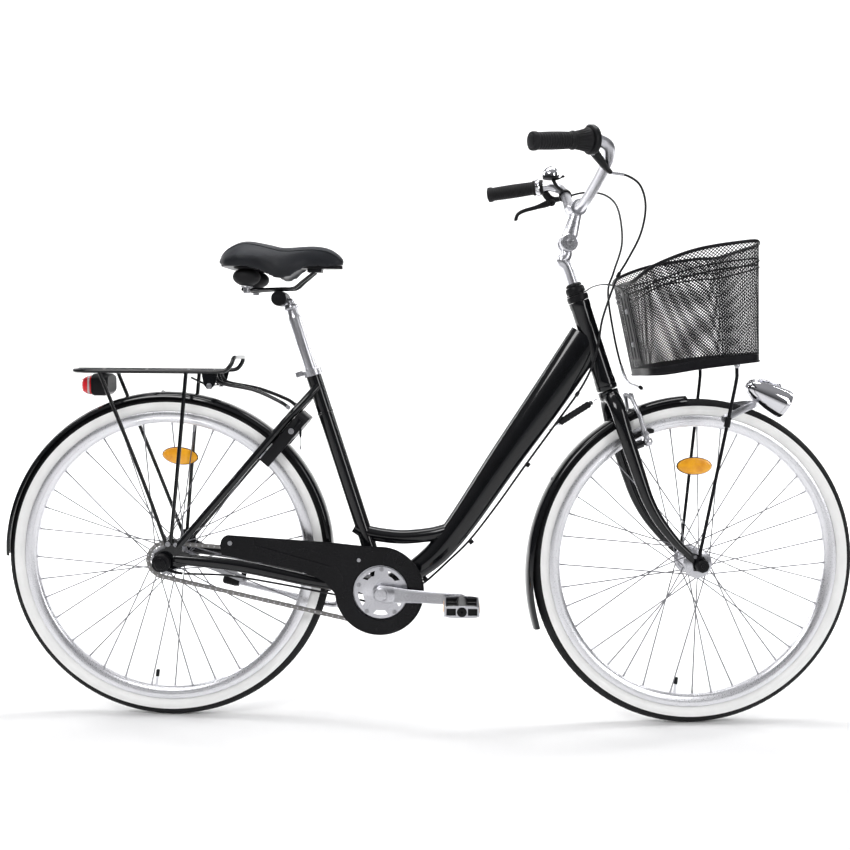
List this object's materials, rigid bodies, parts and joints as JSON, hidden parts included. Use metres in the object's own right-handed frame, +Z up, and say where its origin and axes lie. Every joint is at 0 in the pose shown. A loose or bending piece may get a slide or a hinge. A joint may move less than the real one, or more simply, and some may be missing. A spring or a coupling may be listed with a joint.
{
  "type": "bicycle",
  "caption": "Black step-through city bicycle with whitewall tyres, a front basket, a rear carrier, mudguards, lamps, a padded saddle and a folded kickstand",
  "frame": {"origin": "point on the floor directly below the rear axle, which is the centre of the rear tyre's contact with the floor", "axes": "+X forward along the bicycle, +Y to the rider's left, +Z up"},
  "size_m": [1.8335, 0.6094, 1.2212],
  "materials": {
    "black_paint": "gloss",
    "black_plastic": "matte",
    "black_rubber": "matte",
    "tyre_rubber": "matte",
    "saddle_cover": "satin",
    "alloy": "brushed",
    "steel": "brushed",
    "chrome": "polished",
    "red_lens": "gloss",
    "amber_lens": "gloss",
    "clear_lens": "gloss"
  },
  "bodies": {
    "frame": {"frame": "black_paint", "ring_lock": "black_plastic", "bottom_bracket_cartridge": "steel", "rear_fender": "black_paint", "rear_carrier": "black_paint", "rear_lamp_housing": "black_plastic", "rear_lamp_lens": "red_lens", "rear_axle": "steel", "gear_click_box": "black_plastic", "coaster_brake_arm": "steel", "seat_clamp": "alloy", "kickstand_bracket": "black_plastic", "chain": "steel", "chainguard": "black_plastic", "shift_cable": "black_plastic", "steering_spring": "black_rubber"},
    "seat_post": {"seat_post": "alloy", "saddle_clamp": "black_plastic"},
    "saddle": {"saddle_pad": "saddle_cover", "saddle_shell": "black_plastic", "saddle_rails": "black_paint"},
    "steering": {"fork": "black_paint", "headset_upper_race": "black_plastic", "front_axle": "black_plastic", "front_fender": "black_paint", "basket": "black_paint", "basket_bracket": "black_paint", "headlamp_shell": "chrome", "headlamp_lens": "clear_lens", "headlamp_bracket": "alloy", "stem_quill": "alloy", "front_brake_cable": "black_plastic"},
    "handlebar": {"stem_head": "alloy", "handlebar": "alloy", "grip_left": "black_rubber", "grip_right": "black_rubber", "twist_shifter_housing": "black_plastic", "brake_lever_mount": "black_plastic", "bell": "black_plastic"},
    "twist_shifter": {"twist_shifter_sleeve": "black_rubber"},
    "brake_lever": {"brake_lever": "black_plastic"},
    "bell_striker": {"bell_striker": "black_plastic"},
    "brake_arm_left": {"brake_arm_left": "alloy"},
    "brake_arm_right": {"brake_arm_right": "alloy"},
    "front_wheel": {"front_tyre": "tyre_rubber", "front_rim": "alloy", "front_hub_and_spokes": "alloy", "front_reflector": "amber_lens"},
    "rear_wheel": {"rear_tyre": "tyre_rubber", "rear_rim": "alloy", "rear_hub_and_spokes": "alloy", "rear_reflector": "amber_lens"},
    "rear_sprocket": {"rear_sprocket": "steel"},
    "crankset": {"crank_right": "alloy", "crank_left": "alloy", "chainring": "alloy"},
    "pedal_right": {"pedal_right": "black_plastic"},
    "pedal_left": {"pedal_left": "black_plastic"},
    "kickstand": {"kickstand_leg": "alloy", "kickstand_foot": "black_rubber"}
  },
  "joints": [
    {"name": "steering", "type": "hinge", "parent": "frame", "child": "steering", "pos_m": [0.875, 0, 0.896], "axis": [-0.3256, 0, 0.9455], "range_deg": [-66, 54], "deforming": ["front_brake_cable", "shift_cable", "steering_spring"]},
    {"name": "stem_angle", "type": "hinge", "parent": "steering", "child": "handlebar", "pos_m": [0.84692, 0.0016, 1.02497], "axis": [-0.0972, 0.9947, -0.0335], "range_deg": [-20, 20], "deforming": ["front_brake_cable", "shift_cable"]},
    {"name": "twist_shifter", "type": "hinge", "parent": "handlebar", "child": "twist_shifter", "pos_m": [0.83771, -0.25107, 1.19151], "axis": [-0.9046, -0.4151, -0.0965], "range_deg": [-60, 60]},
    {"name": "brake_lever", "type": "hinge", "parent": "handlebar", "child": "brake_lever", "pos_m": [0.83676, 0.26201, 1.14531], "axis": [0.1326, 0.818, 0.5597], "range_deg": [0, 20], "stiffness_Nm_per_rad": 1.5, "springref_deg": -6.88, "deforming": ["front_brake_cable"]},
    {"name": "bell_striker", "type": "hinge", "parent": "handlebar", "child": "bell_striker", "pos_m": [0.82821, 0.20617, 1.18369], "axis": [-0.0016, 0.0335, 0.9994], "range_deg": [0, 25], "stiffness_Nm_per_rad": 0.02, "springref_deg": -2.86},
    {"name": "brake_arm_left", "type": "hinge", "parent": "steering", "child": "brake_arm_left", "pos_m": [0.99898, 0.04252, 0.60462], "axis": [0.9405, 0.1028, 0.3238], "range_deg": [0, 4], "deforming": ["front_brake_cable"]},
    {"name": "brake_arm_right", "type": "hinge", "parent": "steering", "child": "brake_arm_right", "pos_m": [1.00675, -0.03705, 0.60729], "axis": [-0.9405, -0.1028, -0.3238], "range_deg": [0, 4], "deforming": ["front_brake_cable"]},
    {"name": "front_wheel", "type": "hinge", "parent": "steering", "child": "front_wheel", "pos_m": [1.12769, 0.00632, 0.34999], "axis": [-0.0972, 0.9947, -0.0335], "continuous": true},
    {"name": "rear_wheel", "type": "hinge", "parent": "frame", "child": "rear_wheel", "pos_m": [0, 0, 0.35], "axis": [0, 1, 0], "continuous": true},
    {"name": "crank", "type": "hinge", "parent": "frame", "child": "crankset", "pos_m": [0.46, 0, 0.286], "axis": [0, 1, 0], "continuous": true},
    {"name": "rear_sprocket", "type": "hinge", "parent": "frame", "child": "rear_sprocket", "pos_m": [0, 0, 0.35], "axis": [0, 1, 0], "continuous": true},
    {"name": "pedal_right", "type": "hinge", "parent": "crankset", "child": "pedal_right", "pos_m": [0.62977, 0, 0.2771], "axis": [0, 1, 0], "continuous": true},
    {"name": "pedal_left", "type": "hinge", "parent": "crankset", "child": "pedal_left", "pos_m": [0.29023, 0, 0.2949], "axis": [0, 1, 0], "continuous": true},
    {"name": "seat_height", "type": "slide", "parent": "frame", "child": "seat_post", "axis": [-0.3104, 0, 0.9506], "range_m": [-0.09, 0.05]},
    {"name": "saddle_tilt", "type": "hinge", "parent": "seat_post", "child": "saddle", "pos_m": [0.2415, 0, 0.905], "axis": [0, 1, 0], "range_deg": [-15, 15]},
    {"name": "kickstand", "type": "hinge", "parent": "frame", "child": "kickstand", "pos_m": [0.368, 0.036, 0.238], "axis": [0.45, -0.893, 0], "range_deg": [0, 118]}
  ],
  "couplings": [
    {"joint": "rear_sprocket", "follows": "crank", "ratio": 2},
    {"joint": "brake_arm_left", "follows": "brake_lever", "ratio": 0.2},
    {"joint": "brake_arm_right", "follows": "brake_lever", "ratio": 0.2}
  ]
}
